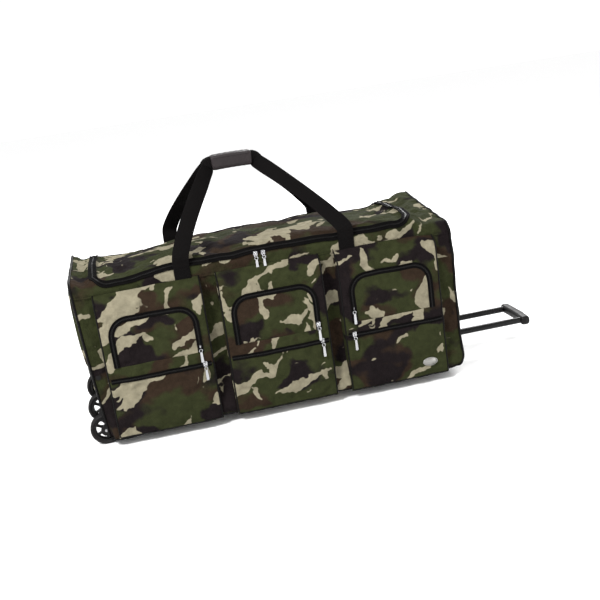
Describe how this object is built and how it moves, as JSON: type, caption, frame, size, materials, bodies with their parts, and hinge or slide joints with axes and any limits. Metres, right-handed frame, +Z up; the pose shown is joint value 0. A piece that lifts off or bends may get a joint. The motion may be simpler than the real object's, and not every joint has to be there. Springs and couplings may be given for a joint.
{
  "type": "rolling duffel bag",
  "caption": "Long soft camouflage duffel on corner wheels, with zipped front pockets, a zipped top lid, twin carry straps and a telescoping pull handle.",
  "frame": {"origin": "bottom centre of the whole object's box, on the floor, with the pull handle extended", "axes": "+X from the wheel end to the pull handle, +Y from the pockets to the plain back, +Z up"},
  "size_m": [1.281, 0.432, 0.677],
  "materials": {
    "camouflage_fabric": "woven polyester, four-colour camouflage print",
    "black_webbing": "ribbed nylon webbing",
    "wrap_leather": "grained, slightly glossy",
    "black_plastic": "moulded, satin",
    "tyre_rubber": "satin",
    "inner_steel": "plain",
    "black_tube": "gloss black",
    "zip_metal": "polished",
    "base_board": "plain"
  },
  "bodies": {
    "root": {"bag_shell": "camouflage_fabric", "base_board": "base_board", "outer_tube_front": "inner_steel", "outer_tube_rear": "inner_steel", "handle_bezel": "black_plastic", "wheel_housing_front": "black_plastic", "wheel_housing_rear": "black_plastic", "skid_rail_front": "black_plastic", "skid_rail_rear": "black_plastic", "pocket_left": "camouflage_fabric", "pocket_middle": "camouflage_fabric", "pocket_right": "camouflage_fabric", "axle_front_low": "inner_steel", "axle_front_mid": "inner_steel", "axle_front_high": "inner_steel", "axle_rear_low": "inner_steel", "axle_rear_mid": "inner_steel", "axle_rear_high": "inner_steel"},
    "wheel_front_low": {"tyre_front_low": "tyre_rubber", "hub_front_low": "black_plastic"},
    "wheel_front_mid": {"tyre_front_mid": "tyre_rubber", "hub_front_mid": "black_plastic"},
    "wheel_front_high": {"tyre_front_high": "tyre_rubber", "hub_front_high": "black_plastic"},
    "wheel_rear_low": {"tyre_rear_low": "tyre_rubber", "hub_rear_low": "black_plastic"},
    "wheel_rear_mid": {"tyre_rear_mid": "tyre_rubber", "hub_rear_mid": "black_plastic"},
    "wheel_rear_high": {"tyre_rear_high": "tyre_rubber", "hub_rear_high": "black_plastic"},
    "pull_handle": {"inner_tube_front": "black_tube", "inner_tube_rear": "black_tube", "handle_grip": "black_plastic"},
    "handle_release": {"release_button": "black_plastic", "push_rod_front": "inner_steel", "push_rod_rear": "inner_steel"},
    "lid": {"top_lid": "camouflage_fabric"},
    "carry_handle_front": {"carry_strap_front": "black_webbing", "hand_wrap_front": "wrap_leather"},
    "carry_handle_rear": {"carry_strap_rear": "black_webbing", "hand_wrap_rear": "wrap_leather"},
    "flap_left": {"pocket_flap_left": "camouflage_fabric"},
    "flap_middle": {"pocket_flap_middle": "camouflage_fabric"},
    "flap_right": {"pocket_flap_right": "camouflage_fabric"},
    "main_zip_left_slider": {"main_zip_left_slider": "zip_metal"},
    "main_zip_left_pull": {"main_zip_left_pull": "zip_metal"},
    "main_zip_right_slider": {"main_zip_right_slider": "zip_metal"},
    "main_zip_right_pull": {"main_zip_right_pull": "zip_metal"},
    "arch_zip_left_slider": {"arch_zip_left_slider": "zip_metal"},
    "arch_zip_left_pull": {"arch_zip_left_pull": "zip_metal"},
    "slash_zip_left_slider": {"slash_zip_left_slider": "zip_metal"},
    "slash_zip_left_pull": {"slash_zip_left_pull": "zip_metal"},
    "arch_zip_middle_slider": {"arch_zip_middle_slider": "zip_metal"},
    "arch_zip_middle_pull": {"arch_zip_middle_pull": "zip_metal"},
    "slash_zip_middle_slider": {"slash_zip_middle_slider": "zip_metal"},
    "slash_zip_middle_pull": {"slash_zip_middle_pull": "zip_metal"},
    "arch_zip_right_slider": {"arch_zip_right_slider": "zip_metal"},
    "arch_zip_right_pull": {"arch_zip_right_pull": "zip_metal"},
    "slash_zip_right_slider": {"slash_zip_right_slider": "zip_metal"},
    "slash_zip_right_pull": {"slash_zip_right_pull": "zip_metal"}
  },
  "joints": [
    {"name": "wheel_spin_front_low", "type": "hinge", "parent": "root", "child": "wheel_front_low", "pos_m": [-0.5995, -0.1515, 0.041], "axis": [0, 1, 0], "continuous": true},
    {"name": "wheel_spin_front_mid", "type": "hinge", "parent": "root", "child": "wheel_front_mid", "pos_m": [-0.5955, -0.1255, 0.092], "axis": [0, 1, 0], "continuous": true},
    {"name": "wheel_spin_front_high", "type": "hinge", "parent": "root", "child": "wheel_front_high", "pos_m": [-0.5895, -0.0995, 0.141], "axis": [0, 1, 0], "continuous": true},
    {"name": "wheel_spin_rear_low", "type": "hinge", "parent": "root", "child": "wheel_rear_low", "pos_m": [-0.5995, 0.1885, 0.041], "axis": [0, 1, 0], "continuous": true},
    {"name": "wheel_spin_rear_mid", "type": "hinge", "parent": "root", "child": "wheel_rear_mid", "pos_m": [-0.5955, 0.1625, 0.092], "axis": [0, 1, 0], "continuous": true},
    {"name": "wheel_spin_rear_high", "type": "hinge", "parent": "root", "child": "wheel_rear_high", "pos_m": [-0.5895, 0.1365, 0.141], "axis": [0, 1, 0], "continuous": true},
    {"name": "handle_extend", "type": "slide", "parent": "root", "child": "pull_handle", "axis": [1, 0, 0], "range_m": [-0.19, 0]},
    {"name": "release_press", "type": "slide", "parent": "pull_handle", "child": "handle_release", "axis": [-1, 0, 0], "range_m": [0, 0.004], "stiffness_N_per_m": 600},
    {"name": "lid_open", "type": "hinge", "parent": "root", "child": "lid", "pos_m": [-0.1215, 0.1785, 0.45], "axis": [-1, 0, 0], "range_deg": [0, 105]},
    {"name": "carry_fold_front", "type": "hinge", "parent": "root", "child": "carry_handle_front", "pos_m": [-0.1215, -0.1775, 0.452], "axis": [1, 0, 0], "range_deg": [0, 158]},
    {"name": "carry_fold_rear", "type": "hinge", "parent": "root", "child": "carry_handle_rear", "pos_m": [-0.1215, 0.2145, 0.452], "axis": [-1, 0, 0], "range_deg": [0, 158]},
    {"name": "pocket_open_left", "type": "hinge", "parent": "root", "child": "flap_left", "pos_m": [-0.4325, -0.2075, 0.215], "axis": [1, 0, 0], "range_deg": [0, 120]},
    {"name": "pocket_open_middle", "type": "hinge", "parent": "root", "child": "flap_middle", "pos_m": [-0.1215, -0.2075, 0.215], "axis": [1, 0, 0], "range_deg": [0, 120]},
    {"name": "pocket_open_right", "type": "hinge", "parent": "root", "child": "flap_right", "pos_m": [0.1895, -0.2075, 0.215], "axis": [1, 0, 0], "range_deg": [0, 120]},
    {"name": "main_zip_left_run", "type": "slide", "parent": "root", "child": "main_zip_left_slider", "axis": [-1, 0, 0], "range_m": [0, 0.27]},
    {"name": "main_zip_left_pull_swing", "type": "hinge", "parent": "main_zip_left_slider", "child": "main_zip_left_pull", "pos_m": [-0.1455, -0.179, 0.428], "axis": [-1, 0, 0], "range_deg": [0, 150]},
    {"name": "main_zip_right_run", "type": "slide", "parent": "root", "child": "main_zip_right_slider", "axis": [1, 0, 0], "range_m": [0, 0.35]},
    {"name": "main_zip_right_pull_swing", "type": "hinge", "parent": "main_zip_right_slider", "child": "main_zip_right_pull", "pos_m": [-0.1255, -0.179, 0.428], "axis": [-1, 0, 0], "range_deg": [0, 150]},
    {"name": "arch_zip_left_run", "type": "slide", "parent": "root", "child": "arch_zip_left_slider", "axis": [0, 0, 1], "range_m": [0, 0.053]},
    {"name": "arch_zip_left_pull_swing", "type": "hinge", "parent": "arch_zip_left_slider", "child": "arch_zip_left_pull", "pos_m": [-0.326, -0.215, 0.225], "axis": [-1, 0, 0], "range_deg": [0, 150]},
    {"name": "slash_zip_left_run", "type": "slide", "parent": "root", "child": "slash_zip_left_slider", "axis": [-1, 0, 0], "range_m": [0, 0.224]},
    {"name": "slash_zip_left_pull_swing", "type": "hinge", "parent": "slash_zip_left_slider", "child": "slash_zip_left_pull", "pos_m": [-0.3205, -0.215, 0.176], "axis": [-1, 0, 0], "range_deg": [0, 150]},
    {"name": "arch_zip_middle_run", "type": "slide", "parent": "root", "child": "arch_zip_middle_slider", "axis": [0, 0, 1], "range_m": [0, 0.056]},
    {"name": "arch_zip_middle_pull_swing", "type": "hinge", "parent": "arch_zip_middle_slider", "child": "arch_zip_middle_pull", "pos_m": [-0.015, -0.215, 0.222], "axis": [-1, 0, 0], "range_deg": [0, 150]},
    {"name": "slash_zip_middle_run", "type": "slide", "parent": "root", "child": "slash_zip_middle_slider", "axis": [-1, 0, 0], "range_m": [0, 0.224]},
    {"name": "slash_zip_middle_pull_swing", "type": "hinge", "parent": "slash_zip_middle_slider", "child": "slash_zip_middle_pull", "pos_m": [-0.0095, -0.215, 0.176], "axis": [-1, 0, 0], "range_deg": [0, 150]},
    {"name": "arch_zip_right_run", "type": "slide", "parent": "root", "child": "arch_zip_right_slider", "axis": [0, 0, 1], "range_m": [0, 0.031]},
    {"name": "arch_zip_right_pull_swing", "type": "hinge", "parent": "arch_zip_right_slider", "child": "arch_zip_right_pull", "pos_m": [0.083, -0.215, 0.247], "axis": [-1, 0, 0], "range_deg": [0, 150]},
    {"name": "slash_zip_right_run", "type": "slide", "parent": "root", "child": "slash_zip_right_slider", "axis": [1, 0, 0], "range_m": [0, 0.224]},
    {"name": "slash_zip_right_pull_swing", "type": "hinge", "parent": "slash_zip_right_slider", "child": "slash_zip_right_pull", "pos_m": [0.0775, -0.215, 0.176], "axis": [-1, 0, 0], "range_deg": [0, 150]}
  ],
  "couplings": [
    {"joint": "carry_fold_front", "follows": "lid_open", "ratio": 1.5},
    {"joint": "carry_fold_rear", "follows": "lid_open", "ratio": 1.5}
  ]
}
